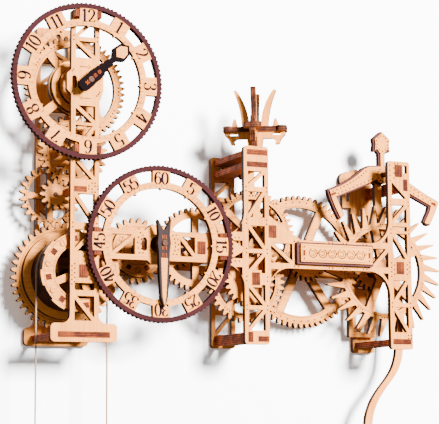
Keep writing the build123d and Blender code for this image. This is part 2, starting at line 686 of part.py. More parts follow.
def finial():
    """Two halved plates that cross at a right angle, turned a little, and a four-lobed plate round them."""
    flat = slab(finial_profile(), -PLY / 2)
    halving = FINIAL_ARM_Z - 3.0
    middle = (-PLY / 2, PLY / 2, -PLY / 2, PLY / 2)
    front = flat - box(*middle, halving, 200)
    side = Rot(0, 0, 90) * flat - box(*middle, 100, halving)
    lobes = Rectangle(2 * FINIAL_REACH - 4, 7) + Rectangle(7, 2 * FINIAL_REACH - 4)
    for turn in range(4):
        lobes += Rot(0, 0, 90 * turn) * Pos(FINIAL_REACH - 3.5, 0) * RectangleRounded(7, 13, 3)
    plate = Pos(0, 0, FINIAL_ARM_Z) * extrude(lobes, amount=PLY) - front - side
    stand = Pos(FINIAL_X, FINIAL_Y, 0) * Rot(0, 0, FINIAL_TURN)
    return stand * front, stand * side, stand * plate


# ---------------------------------------------------------------- the cord
def drum_cord(side):
    """Half of the cord: over the drum from the top, then straight down. side is -1 for the left."""
    wrap = CORD_WRAP_R
    half_turn = radians(22.5)
    corner_r = wrap / cos(half_turn)
    route = [(0, wrap)]
    for corner in (1, 3):
        turned = corner * half_turn
        route.append((corner_r * sin(turned), corner_r * cos(turned)))
    route += [(wrap, -14.0), (wrap, -60.0), (wrap, CORD_LOW - DRUM[1])]
    points = [(DRUM[0] + side * x, CORD_Y, DRUM[1] + z) for x, z in route]
    # Each bend turns 45 degrees, a touch tighter than the drum so that the two bends just meet.
    path = FilletPolyline(*points[:4], radius=[wrap * 0.999, wrap * 0.999])
    path += Line(points[3], points[-1])
    length = path.length
    section = Plane(origin=points[0], z_dir=(side, 0, 0)) * Circle(CORD_R)
    tube = sweep(section, path=path)
    exact = pi * CORD_R**2 * length
    print("cord length", round(length, 1), "volume", round(tube.volume, 1), "of", round(exact, 1))
    return tube


def cord_hook(side):
    """A small plywood hook under the cord's end."""
    x = DRUM[0] + side * CORD_WRAP_R
    face = Circle(6.5) - Circle(HOOK_EYE_R)
    face -= Pos(5.5, 1.8) * Rectangle(4.0, 2.6)
    face += area(-1.6, 1.6, 5.6, HOOK_DROP)
    return slab(at((x, CORD_LOW - HOOK_DROP), face), CORD_Y - HOOK_PLY / 2, HOOK_PLY)


# ---------------------------------------------------------------- assembly
def build_root():
    finish_node("front_left_tower", front_left_tower())
    finish_node("front_minute_arm", front_minute_arm())
    finish_node("front_centre_tower", front_centre_tower())
    finish_node("front_right_tower", front_right_tower())
    finish_node("back_left_tower", back_left_tower())
    finish_node("back_centre_tower", back_centre_tower())
    finish_node("back_right_tower", back_right_tower())
    finish_node("left_ties", slotted_tie(-151.5, -113.5, 2.5, 6.5), transfer_bracket())
    centre_ties = [hanger_tie(z0, z1) for z0, z1 in UPPER_TIES]
    centre_ties += [tie_plank(-7.5, -3.5, 1.5, 9.0), tie_plank(0.5, TIE_X[1], 2, 6)]
    finish_node("centre_ties", *centre_ties)
    finish_node("inner_hanger", inner_hanger())
    finish_node("right_ties", slotted_tie(113, 129, 2, 6), tie_plank(124.5, 128.5, 118.5, 127.5))
    finish_node("right_bracket", *right_bracket())
    finish_node("hours_dial_rim", dial_rim(HOUR))
    finish_node("hours_dial_ring", dial_ring(HOUR))
    finish_node("minutes_dial_rim", dial_rim(MINUTE))
    finish_node("minutes_dial_ring", dial_ring(MINUTE))
    finish_node("dial_posts", *dial_posts())
    finish_node("nameplate_frame", nameplate_frame())
    finish_node("nameplate_panel", nameplate_panel())
    finial_front, finial_side, finial_cross = finial()
    finish_node("finial_front_plate", finial_front)
    finish_node("finial_side_plate", finial_side)
    finish_node("finial_cross_plate", finial_cross)
    finish_node(
        "arbor_keepers",
        *[keeper(centre, DOWEL_R) for centre in (DRUM, FIRST, SECOND, THIRD, ESCAPE)],
        keeper(PIVOT, ARBOR_R + RUNNING),
        minute_bearing(),
    )
    held_twice = (DRUM, FIRST, SECOND, ESCAPE, MOTION, RING)
    dowels = [rod(centre, 0, WALL, DOWEL_R) for centre in held_twice]
    dowels.append(rod(TRANSFER, TRANSFER_DOWEL_Y, WALL, DOWEL_R))
    dowels.append(rod(THIRD, 0, HANGER_Y + PLY, DOWEL_R))
    finish_node("fixed_dowels", *dowels)


def build_going_train():
    minute_phase = 0.0
    drum_phase = meshed_phase(MINUTE_TEETH, minute_phase, MINUTE, GREAT_TEETH, DRUM)
    finish_node("great_wheel", wheel(DRUM, GREAT_TEETH, GREAT_M, drum_phase, GREAT_Y, DRUM_SLEEVE_R,
                                     spoke_windows(9.0, 27.0, 6, 6.0, 0, 2.0)))
    finish_node("drum_barrel", *drum_barrel())
    finish_node("drum_rear_flange", drum_rear_flange())
    finish_node("drum_front_disc", drum_front_disc())
    finish_node("drum_screws", *drum_screws())

    finish_node("minute_arbor", turning_arbor(MINUTE, HAND_Y - 1.5))
    finish_node("minute_wheel", wheel(MINUTE, MINUTE_TEETH, GREAT_M, minute_phase, GREAT_Y, ARBOR_R))
    ratchet = Circle(19.5) - Circle(ARBOR_R)
    for step in range(6):
        ratchet -= Rot(0, 0, 60 * step) * Pos(20.4, 0) * Rectangle(2.4, 7.0)
    finish_node("minute_ratchet_disc", slab(at(MINUTE, ratchet), GREAT_Y - PLY))
    hub = at(MINUTE, Circle(5.5) - Circle(ARBOR_R))
    finish_node("minute_hub", slab(hub, SECOND_WHEEL_Y, GREAT_Y - PLY - SECOND_WHEEL_Y))
    finish_node("minute_hand", minute_hand())

    first_pinion_phase = meshed_phase(MINUTE_TEETH, minute_phase, MINUTE, FIRST_PINION_TEETH, FIRST)
    first_phase = 4.5
    finish_node("first_pinion", pinion_on_sleeve(FIRST, FIRST_PINION_TEETH, GREAT_M, first_pinion_phase,
                                                 GREAT_Y, FIRST_WHEEL_Y, GREAT_Y + PLY))
    finish_node("first_wheel", wheel(FIRST, FIRST_TEETH, FIRST_M, first_phase, FIRST_WHEEL_Y, SLEEVE_R,
                                     spoke_windows(8.0, 22.5, 6, 5.0, 30, 2.0)))

    second_pinion_phase = meshed_phase(FIRST_TEETH, first_phase, FIRST, SECOND_PINION_TEETH, SECOND)
    second_phase = 0.0
    finish_node("second_pinion", pinion_on_sleeve(SECOND, SECOND_PINION_TEETH, FIRST_M, second_pinion_phase,
                                                  FIRST_WHEEL_Y, FIRST_WHEEL_Y, SECOND_WHEEL_Y + PLY))
    finish_node("second_wheel", wheel(SECOND, SECOND_TEETH, SECOND_M, second_phase, SECOND_WHEEL_Y, SLEEVE_R,
                                      spoke_windows(8.0, 24.0, 5, 5.0, 18, 2.0)))

    third_pinion_phase = meshed_phase(SECOND_TEETH, second_phase, SECOND, THIRD_PINION_TEETH, THIRD)
    third_phase = 0.0
    finish_node("third_pinion", pinion_on_sleeve(THIRD, THIRD_PINION_TEETH, SECOND_M, third_pinion_phase,
                                                 SECOND_WHEEL_Y, SECOND_WHEEL_Y, THIRD_WHEEL_Y + PLY))
    finish_node("third_wheel", wheel(THIRD, THIRD_TEETH, THIRD_M, third_phase, THIRD_WHEEL_Y, SLEEVE_R,
                                     spoke_windows(9.0, 28.0, 6, 5.0, 20, 2.0)))

    ring_pinion_phase = meshed_phase(THIRD_TEETH, third_phase, THIRD, RING_PINION_TEETH, RING)
    ring_phase = 0.0
    finish_node("ring_pinion", pinion_on_sleeve(RING, RING_PINION_TEETH, THIRD_M, ring_pinion_phase,
                                                THIRD_WHEEL_Y, THIRD_WHEEL_Y, RING_Y + PLY))
    finish_node("ring_wheel", wheel(RING, RING_TEETH, RING_M, ring_phase, RING_Y, SLEEVE_R,
                                    spoke_windows(10.0, 41.5, 6, 6.5, 5, 3.0)))

    escape_pinion_phase = meshed_phase(RING_TEETH, ring_phase, RING, ESCAPE_PINION_TEETH, ESCAPE)
    finish_node("escape_pinion", pinion_on_sleeve(ESCAPE, ESCAPE_PINION_TEETH, RING_M, escape_pinion_phase,
                                                  RING_Y, ESCAPE_Y, RING_Y + PLY))
    finish_node("escape_wheel", escape_wheel())
    return drum_phase


def build_motion_train(drum_phase):
    transfer_phase = meshed_phase(GREAT_TEETH, drum_phase, DRUM, TRANSFER_TEETH, TRANSFER)
    pinion_phase = 0.0
    finish_node("transfer_pinion", pinion_on_sleeve(TRANSFER, TRANSFER_PINION_TEETH, MOTION_M, pinion_phase,
                                                    MOTION_Y, MOTION_Y, GREAT_Y + PLY))
    finish_node("transfer_wheel", wheel(TRANSFER, TRANSFER_TEETH, GREAT_M, transfer_phase, GREAT_Y, SLEEVE_R,
                                        spoke_windows(7.0, 17.0, 4, 4.5, 0, 1.5)))

    motion_phase = meshed_phase(TRANSFER_PINION_TEETH, pinion_phase, TRANSFER, MOTION_TEETH, MOTION)
    motion_pinion_phase = 0.0
    finish_node("motion_pinion", pinion_on_sleeve(MOTION, MOTION_PINION_TEETH, HOUR_M, motion_pinion_phase,
                                                  HOUR_WHEEL_Y, HOUR_WHEEL_Y, MOTION_Y + PLY))
    finish_node("motion_wheel", wheel(MOTION, MOTION_TEETH, MOTION_M, motion_phase, MOTION_Y, SLEEVE_R,
                                      spoke_windows(7.5, 18.5, 5, 5.0, 0, 1.5)))

    hour_phase = meshed_phase(MOTION_PINION_TEETH, motion_pinion_phase, MOTION, HOUR_TEETH, HOUR)
    finish_node("hour_arbor", turning_arbor(HOUR, HAND_Y - 1.5))
    finish_node("hour_wheel", wheel(HOUR, HOUR_TEETH, HOUR_M, hour_phase, HOUR_WHEEL_Y, ARBOR_R,
                                    spoke_windows(20.0, 29.5, 4, 6.0, 40, 2.0)))
    hub_disc = slab(at(HOUR, Circle(19.0) - Circle(ARBOR_R)), HOUR_WHEEL_Y - PLY)
    step_disc = slab(at(HOUR, Circle(14.5) - Circle(ARBOR_R)), HOUR_WHEEL_Y - 2 * PLY)
    finish_node("hour_hub_discs", hub_disc, step_disc)
    finish_node("hour_hand", hour_hand())


def build_escapement():
    plate = anchor_face(HUB_R + 0.5, INLAY_MARGIN)
    finish_node("anchor_plate", slab(at(PIVOT, plate), ESCAPE_Y))
    finish_node("anchor_inlay", slab(at(PIVOT, anchor_face(HUB_R, 0)), ESCAPE_Y - INLAY_PLY, INLAY_PLY))
    finish_node("anchor_arbor", rod(PIVOT, END_PLAY, WALL - END_PLAY, ARBOR_R))
    finish_node("pendulum_rod", pendulum_rod())
    finish_node("pendulum_bob", *pendulum_bob())


def build_cords():
    finish_node("weight_cord", drum_cord(-1))
    finish_node("counter_cord", drum_cord(1))
    finish_node("cord_hooks", cord_hook(-1), cord_hook(1))


build_root()
build_motion_train(build_going_train())
build_escapement()
build_cords()

os.makedirs("parts", exist_ok=True)
for name, solids in NODES.items():
    shape = solids[0] if len(solids) == 1 else Compound(children=[Part(s.wrapped) for s in solids])
    export_step(shape, f"parts/{name}.step")
gap = PALLET_GAP - radians(SWING) * PALLET_REACH
print(len(NODES), "nodes; pallets clear the spikes by", round(gap, 2), "mm at full swing")
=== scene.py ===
import json
from math import cos, hypot, pi, radians, sin

import bpy
from mathutils import Matrix, Vector


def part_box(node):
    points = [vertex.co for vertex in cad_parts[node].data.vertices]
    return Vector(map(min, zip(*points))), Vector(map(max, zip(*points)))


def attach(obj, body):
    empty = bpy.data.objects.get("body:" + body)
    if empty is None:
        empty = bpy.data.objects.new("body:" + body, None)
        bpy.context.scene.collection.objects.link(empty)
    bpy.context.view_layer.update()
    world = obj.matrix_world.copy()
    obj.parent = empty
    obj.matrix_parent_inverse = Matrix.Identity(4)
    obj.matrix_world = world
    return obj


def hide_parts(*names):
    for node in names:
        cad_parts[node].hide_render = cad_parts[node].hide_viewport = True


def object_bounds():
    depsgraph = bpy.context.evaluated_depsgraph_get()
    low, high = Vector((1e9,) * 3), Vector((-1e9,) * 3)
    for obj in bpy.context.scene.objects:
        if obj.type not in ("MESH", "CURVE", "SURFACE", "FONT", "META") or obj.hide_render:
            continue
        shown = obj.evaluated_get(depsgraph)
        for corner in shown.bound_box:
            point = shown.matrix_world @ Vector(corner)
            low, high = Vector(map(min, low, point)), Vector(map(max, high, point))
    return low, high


# Looks for the plywood wall clock. Metres, in the row frame: +X right, +Y to the wall, +Z up.
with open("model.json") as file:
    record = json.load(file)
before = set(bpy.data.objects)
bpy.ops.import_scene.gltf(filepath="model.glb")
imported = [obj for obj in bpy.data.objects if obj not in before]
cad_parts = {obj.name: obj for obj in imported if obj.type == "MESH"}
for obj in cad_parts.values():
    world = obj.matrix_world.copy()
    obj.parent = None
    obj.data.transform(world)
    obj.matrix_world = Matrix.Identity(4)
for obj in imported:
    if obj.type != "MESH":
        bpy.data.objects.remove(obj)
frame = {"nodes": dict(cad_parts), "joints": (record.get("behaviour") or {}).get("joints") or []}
cad_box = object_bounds()
nodes = frame["nodes"]
MM = 0.001

# Arbor centres (x, z) from the joints, and the height of the frame's foot from the CAD.
pins = {j["name"].split("_")[0]: (j["pos_m"][0], j["pos_m"][2]) for j in frame["joints"]}
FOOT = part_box("front_centre_tower")[0].z


def front(node):
    """Y of a node's front face."""
    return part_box(node)[0].y


def add_piece(name, points, faces, material):
    """A new mesh object with one material."""
    mesh = bpy.data.meshes.new(name)
    mesh.from_pydata(points, [], faces)
    mesh.update()
    piece = bpy.data.objects.new(name, mesh)
    bpy.context.scene.collection.objects.link(piece)
    mesh.materials.append(material)
    return piece


# ------------------------------------------------------------------ camera
camera_data = bpy.data.cameras.new("camera")
camera_data.lens = 132.58
camera_data.sensor_width = 36.0
camera_data.clip_start, camera_data.clip_end = 0.02, 30.0
camera = bpy.data.objects.new("camera", camera_data)
bpy.context.scene.collection.objects.link(camera)
azimuth, pitch, roll = radians(-24.99), radians(7.71), radians(-0.36)
ahead = Vector((-sin(azimuth) * cos(pitch), cos(azimuth) * cos(pitch), sin(pitch)))
right = Vector((cos(azimuth), sin(azimuth), 0))
upward = right.cross(ahead)
rolled_right = right * cos(roll) + upward * sin(roll)
rolled_up = upward * cos(roll) - right * sin(roll)
turned = Matrix((rolled_right, rolled_up, -ahead)).transposed().to_4x4()
CAMERA_PLACE = (-0.5160, -1.1050, -0.1969)
camera.matrix_world = Matrix.Translation(CAMERA_PLACE) @ turned
bpy.context.scene.camera = camera


# ------------------------------------------------------------------ materials
class Graph:
    """A material's nodes, with short calls for the few kinds used here."""

    def __init__(self, name):
        self.material = bpy.data.materials.new(name)
        self.material.use_nodes = True
        self.tree = self.material.node_tree
        self.tree.nodes.clear()
        self.output = self.tree.nodes.new("ShaderNodeOutputMaterial")
        self.shader = self.tree.nodes.new("ShaderNodeBsdfPrincipled")
        self.link(self.shader.outputs[0], self.output.inputs[0])
        place = self.tree.nodes.new("ShaderNodeTexCoord")
        self.position, self.normal = place.outputs["Object"], place.outputs["Normal"]

    def link(self, source, target):
        self.tree.links.new(source, target)

    def put(self, value, socket):
        if isinstance(value, bpy.types.NodeSocket):
            self.link(value, socket)
        else:
            socket.default_value = value

    def math(self, kind, first, second=0.0, clamp=False):
        node = self.tree.nodes.new("ShaderNodeMath")
        node.operation, node.use_clamp = kind, clamp
        self.put(first, node.inputs[0])
        self.put(second, node.inputs[1])
        return node.outputs[0]

    def mix(self, share, first, second, kind="MIX"):
        node = self.tree.nodes.new("ShaderNodeMix")
        node.data_type, node.blend_type = "RGBA", kind
        self.put(share, node.inputs[0])
        self.put(first, node.inputs[6])
        self.put(second, node.inputs[7])
        return node.outputs[2]

    def noise(self, stretch, detail=3.0, roughness=0.55, turn=(0, 0, 0), shift=(0, 0, 0)):
        mapping = self.tree.nodes.new("ShaderNodeMapping")
        self.link(self.position, mapping.inputs["Vector"])
        mapping.inputs["Scale"].default_value = stretch
        mapping.inputs["Rotation"].default_value = turn
        mapping.inputs["Location"].default_value = shift
        node = self.tree.nodes.new("ShaderNodeTexNoise")
        self.link(mapping.outputs[0], node.inputs["Vector"])
        node.inputs["Scale"].default_value = 1.0
        node.inputs["Detail"].default_value = detail
        node.inputs["Roughness"].default_value = roughness
        return node.outputs[0]

    def ramp(self, value, low, high):
        node = self.tree.nodes.new("ShaderNodeMapRange")
        node.interpolation_type = "SMOOTHSTEP"
        self.put(value, node.inputs["Value"])
        node.inputs["From Min"].default_value = low
        node.inputs["From Max"].default_value = high
        return node.outputs[0]

    def parts(self, vector):
        node = self.tree.nodes.new("ShaderNodeSeparateXYZ")
        self.link(vector, node.inputs[0])
        return node.outputs

    def along(self, vector, axis):
        """A vector's share along an axis: 0, 1 or 2 for X, Y or Z, or a direction."""
        if isinstance(axis, int):
            return self.parts(vector)[axis]
        node = self.tree.nodes.new("ShaderNodeVectorMath")
        node.operation = "DOT_PRODUCT"
        self.link(vector, node.inputs[0])
        node.inputs[1].default_value = axis
        return node.outputs["Value"]

    def bump(self, height, strength, distance):
        node = self.tree.nodes.new("ShaderNodeBump")
        node.inputs["Strength"].default_value = strength
        node.inputs["Distance"].default_value = distance
        self.link(height, node.inputs["Height"])
        self.link(node.outputs[0], self.shader.inputs["Normal"])

    def finish(self, colour, roughness):
        self.put(colour, self.shader.inputs["Base Color"])
        self.put(roughness, self.shader.inputs["Roughness"])
        return self.material


def rgba(colour):
    return (*colour, 1.0)


BIRCH, BIRCH_DEEP = (0.50, 0.176, 0.030), (0.29, 0.095, 0.018)
BURNT, BURNT_LIGHT = (0.014, 0.0034, 0.0016), (0.085, 0.0225, 0.0080)
TIE_FACE, TIE_DEEP = (0.46, 0.165, 0.050), (0.28, 0.090, 0.028)
FINIAL_TURN = radians(-32)
X_AXIS, Y_AXIS, Z_AXIS = 0, 1, 2
LAYER_PITCH = 1.34 * MM        # one of the sheet's three layers
HALO_REACH = 0.42 * MM         # how far the laser browns the face
GRAIN_ALONG, GRAIN_ACROSS = 30.0, 1100.0
ALMOST_MATTE = 0.01


def ply(name, colours, thickness_axis, grain, halo, shift, ends=1.0):
    """Laser-cut ply: a sanded face with grain, and burnt edges that show the sheet's layers.

    The colours are the face, its darker grain, the edge and its lighter patches. The grain runs
    along X or Z. Ends under 1 darken the end grain that faces the front or the back: painted shade,
    set against long sides that face away from the key light.
    """
    face, face_deep, edge, edge_light = colours
    g = Graph(name)
    stretch = [GRAIN_ACROSS] * 3
    stretch[grain] = GRAIN_ALONG
    streaks = g.noise(stretch, 5.0, 0.62, shift=(shift, shift, shift))
    clouds = g.noise((28, 28, 28), 2.0, 0.5, shift=(shift, 0, shift))
    pores = g.noise((stretch[0] * 2.2, stretch[1] * 2.2, stretch[2] * 4.0), 1.0)
    tone = g.math("ADD", g.math("MULTIPLY", streaks, 0.65), g.math("MULTIPLY", clouds, 0.35))
    board = g.mix(g.ramp(tone, 0.36, 0.68), rgba(face), rgba(face_deep))
    board = g.mix(g.math("MULTIPLY", g.ramp(pores, 0.60, 0.74), 0.35), board, rgba(face_deep))
    # Edges: bands for the layers, with scorched patches.
    depth = g.along(g.position, thickness_axis)
    layers = g.math("SINE", g.math("MULTIPLY", depth, 2 * pi / LAYER_PITCH))
    scorch = g.noise((170, 170, 170), 3.0, 0.6, shift=(shift, 0, 0))
    lit = g.math("ADD", g.math("MULTIPLY", layers, 0.13), scorch)
    burnt = g.mix(g.ramp(lit, 0.38, 0.80), rgba(edge), rgba(edge_light))
    across_sheet = g.math("ABSOLUTE", g.along(g.normal, thickness_axis))
    is_face = g.ramp(across_sheet, 0.55, 0.80)
    # A thin brown halo where the laser entered the face.
    bevel = g.tree.nodes.new("ShaderNodeBevel")
    bevel.samples = 3
    bevel.inputs["Radius"].default_value = HALO_REACH
    turn = g.tree.nodes.new("ShaderNodeVectorTransform")
    turn.vector_type, turn.convert_from, turn.convert_to = "NORMAL", "WORLD", "OBJECT"
    g.link(bevel.outputs[0], turn.inputs[0])
    flat_near = g.math("ABSOLUTE", g.along(turn.outputs[0], thickness_axis))
    rim = g.math("SUBTRACT", 1.0, g.ramp(flat_near, 0.80, 0.995))
    board = g.mix(g.math("MULTIPLY", rim, halo), board, rgba(edge_light))
    colour = g.mix(is_face, burnt, board)
    if ends < 1.0:
        # End grain that fills a slot in a front plate gets painted shade: it is darkened against the long
        # sides, which sit in shade and carry painted light in their edge colours.
        front_end_shade_mask = g.ramp(g.math("ABSOLUTE", g.parts(g.normal)[1]), 0.60, 0.90)
        colour = g.mix(front_end_shade_mask, colour, g.mix(1.0, colour, (ends, ends, ends, 1.0), "MULTIPLY"))
    relief = g.math("ADD", g.math("MULTIPLY", streaks, 0.6), g.math("MULTIPLY", pores, 0.4))
    g.bump(relief, 0.25, 0.08 * MM)
    rough = g.math("ADD", 0.58, g.math("MULTIPLY", streaks, 0.22))
    g.shader.inputs["Specular IOR Level"].default_value = 0.06
    return g.finish(colour, rough)


def mark(name, colour, light):
    """Engraved or burnt marks: dark, uneven, dry."""
    g = Graph(name)
    patches = g.noise((700, 700, 700), 2.0)
    g.bump(patches, 0.4, 0.05 * MM)
    g.shader.inputs["Specular IOR Level"].default_value = 0.03
    return g.finish(g.mix(g.ramp(patches, 0.35, 0.70), rgba(colour), rgba(light)), 0.8)


birch_colours = (BIRCH, BIRCH_DEEP, BURNT, BURNT_LIGHT)
birch = {}
for key, axis, grain, shift in (
    ("upright", Y_AXIS, Z_AXIS, 0.0),
    ("level", Y_AXIS, X_AXIS, 3.1),
    ("wheel", Y_AXIS, X_AXIS, 7.7),
    ("finial_front", (-sin(FINIAL_TURN), cos(FINIAL_TURN), 0), Z_AXIS, 2.6),
    ("finial_side", (cos(FINIAL_TURN), sin(FINIAL_TURN), 0), Z_AXIS, 5.2),
    ("flat", Z_AXIS, X_AXIS, 1.4),
):
    birch[key] = ply("birch_" + key, birch_colours, axis, grain, 0.55, shift)

stained_colours = ((0.021, 0.0058, 0.0062), (0.014, 0.0038, 0.0040),
                   (0.012, 0.003, 0.0028), (0.030, 0.011, 0.009))
mauve_colours = ((0.050, 0.0180, 0.0170), (0.031, 0.0112, 0.0108),
                 (0.020, 0.0065, 0.0055), (0.065, 0.024, 0.020))
# Painted light: the edge colours of the ties, tabs and keepers are set far lighter than the birch edges, so
# long sides that face away from the key light read orange-brown. The ends value of 0.20 paints shade back
# onto the lit front ends.
tab_colours = (TIE_FACE, TIE_DEEP, (0.100, 0.0130, 0.0012), (0.600, 0.0980, 0.0070))
keeper_colours = (TIE_FACE, TIE_DEEP, (0.120, 0.0160, 0.0016), (0.660, 0.1120, 0.0090))
black_colours = ((0.0024, 0.0010, 0.0013), (0.0016, 0.0007, 0.0009),
                 (0.003, 0.001, 0.001), (0.006, 0.003, 0.003))
grey_colours = ((0.017, 0.0112, 0.0110), (0.010, 0.0066, 0.0064),
                (0.009, 0.005, 0.005), (0.022, 0.014, 0.013))
stained = ply("stained_ply", stained_colours, Y_AXIS, X_AXIS, 0.3, 2.2)
anchor_mauve = ply("anchor_ply", mauve_colours, Y_AXIS, X_AXIS, 0.3, 4.2)
tab = ply("tab_ply", tab_colours, Z_AXIS, X_AXIS, 0.6, 6.0, 0.20)
keeper = ply("keeper_ply", keeper_colours, X_AXIS, Z_AXIS, 0.6, 6.6, 0.20)
hour_black = ply("hour_hand_ply", black_colours, Y_AXIS, X_AXIS, 0.1, 1.0)
minute_grey = ply("minute_hand_ply", grey_colours, Y_AXIS, Z_AXIS, 0.2, 1.7)
# A dark sheet must not pick up a grey shine from the key light.
for dark in (hour_black, minute_grey, stained, anchor_mauve):
    dark.node_tree.nodes["Principled BSDF"].inputs["Specular IOR Level"].default_value = ALMOST_MATTE
ink = mark("numeral_ink", (0.0034, 0.0011, 0.0018), (0.0080, 0.0026, 0.0040))
burn = mark("burnt_mark", (0.009, 0.0025, 0.0013), (0.024, 0.0068, 0.0033))
engraved = mark("engraved_line", (0.052, 0.0175, 0.0078), (0.105, 0.036, 0.0150))


def dowel_material():
    g = Graph("dowel_wood")
    fibres = g.noise((900, 40, 900), 4.0, 0.6)
    g.shader.inputs["Specular IOR Level"].default_value = 0.05
    g.bump(fibres, 0.3, 0.05 * MM)
    light, deep = rgba((0.050, 0.015, 0.005)), rgba((0.018, 0.005, 0.002))
    return g.finish(g.mix(g.ramp(fibres, 0.35, 0.7), light, deep), 0.55)


def cord_material():
    """Fine cotton: two strands that twist along Z."""
    g = Graph("cotton_cord")
    x, _, z = g.parts(g.position)
    slanted = g.math("ADD", z, g.math("MULTIPLY", x, 1.2))
    lay = g.math("SINE", g.math("MULTIPLY", slanted, 2 * pi / (1.5 * MM)))
    fuzz = g.noise((2600, 2600, 2600), 2.0)
    twist = g.ramp(g.math("ADD", g.math("MULTIPLY", lay, 0.4), fuzz), 0.1, 0.9)
    g.bump(twist, 0.5, 0.15 * MM)
    g.shader.inputs["Sheen Weight"].default_value = 0.25
    return g.finish(g.mix(twist, rgba((0.085, 0.038, 0.017)), rgba((0.25, 0.125, 0.058))), 0.85)


dowel = dowel_material()
cotton = cord_material()

looks = {
    "hours_dial_rim": stained, "minutes_dial_rim": stained, "nameplate_frame": anchor_mauve,
    "anchor_plate": anchor_mauve, "dial_posts": keeper, "arbor_keepers": keeper,
    "left_ties": tab, "centre_ties": tab, "right_ties": tab,
    "hour_hand": hour_black, "minute_hand": minute_grey,
    "fixed_dowels": dowel, "minute_arbor": dowel, "hour_arbor": dowel, "anchor_arbor": dowel,
    "finial_front_plate": birch["finial_front"], "finial_side_plate": birch["finial_side"],
    "finial_cross_plate": birch["flat"],
}
for name in ("front_minute_arm", "nameplate_panel", "right_bracket", "anchor_inlay"):
    looks[name] = birch["level"]
ROUND_PARTS = ("wheel", "pinion", "disc", "dial_ring", "drum")
for name, node in nodes.items():
    kind = "wheel" if any(word in name for word in ROUND_PARTS) else "upright"
    chosen = looks.get(name, birch[kind])
    node.data.materials.clear()
    node.data.materials.append(chosen)


# ------------------------------------------------------------------ thin marks laid on the faces
MARK_RISE, MARK_SINK = 0.06 * MM, 0.01 * MM


def prism(strips, face):
    """A mesh of closed slabs. Each strip is a list of (left, right) point pairs in X and Z."""
    points, faces = [], []
    for pairs in strips:
        start = len(points)
        for y in (face - MARK_RISE, face + MARK_SINK):
            for (lx, lz), (rx, rz) in pairs:
                points += [(lx, y, lz), (rx, y, rz)]
        count = len(pairs)
        back = start + 2 * count
        for i in range(count - 1):
            a = start + 2 * i
            b = back + 2 * i
            faces += [(a, a + 2, a + 3, a + 1), (b, b + 1, b + 3, b + 2)]
            faces += [(a, b, b + 2, a + 2), (a + 1, a + 3, b + 3, b + 1)]
        last, last_back = start + 2 * (count - 1), back + 2 * (count - 1)
        faces += [(start, start + 1, back + 1, back), (last, last_back, last_back + 1, last + 1)]
    return points, faces


def add_marks(name, strips, face, material, body):
    """Thin slabs that lie on a face and ride on a body."""
    points, faces = prism(strips, face)
    piece = add_piece(name, points, faces, material)
    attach(piece, body)


def disc(x, z, radius):
    """A round dot with ten sides, as one strip of a few pairs."""
    pairs = []
    for step in range(6):
        angle = pi * step / 5
        height, half = radius * cos(angle), max(radius * sin(angle), 0.02 * radius)
        pairs.append(((x - half, z + height), (x + half, z + height)))
    return pairs


def ring_line(centre, radius, width, start=0.0, end=360.0):
    """An arc of a thin line, by clock angle."""
    pairs = []
    steps = max(6, int(abs(end - start) / 4))
    for step in range(steps + 1):
        angle = radians(start + (end - start) * step / steps)
        sides = (radius - width / 2, radius + width / 2)
        pairs.append(tuple((centre[0] + r * sin(angle), centre[1] + r * cos(angle)) for r in sides))
    return pairs


def line(first, second, width):
    """A straight bar between two points, as one strip."""
    (x0, z0), (x1, z1) = first, second
    length = hypot(x1 - x0, z1 - z0)
    nx, nz = -(z1 - z0) / length * width / 2, (x1 - x0) / length * width / 2
    return [((x0 + nx, z0 + nz), (x0 - nx, z0 - nz)), ((x1 + nx, z1 + nz), (x1 - nx, z1 - nz))]


def around(centre, radius, turn):
    """A point at a clock angle: degrees clockwise from twelve."""
    return (centre[0] + radius * sin(radians(turn)), centre[1] + radius * cos(radians(turn)))


def bench(x, z):
    """Millimetres from the middle and the foot of the centre tower, to metres in the row frame."""
    return (x * MM, FOOT + z * MM)


# ------------------------------------------------------------------ numerals
THICK, THIN = 1.72 * MM, 0.56 * MM


def oval(cx, cz, rx, rz):
    """A closed stroke of 20 spans."""
    turns = [2 * pi * i / 20 for i in range(21)]
    return [(cx + rx * sin(turn), cz + rz * cos(turn)) for turn in turns]


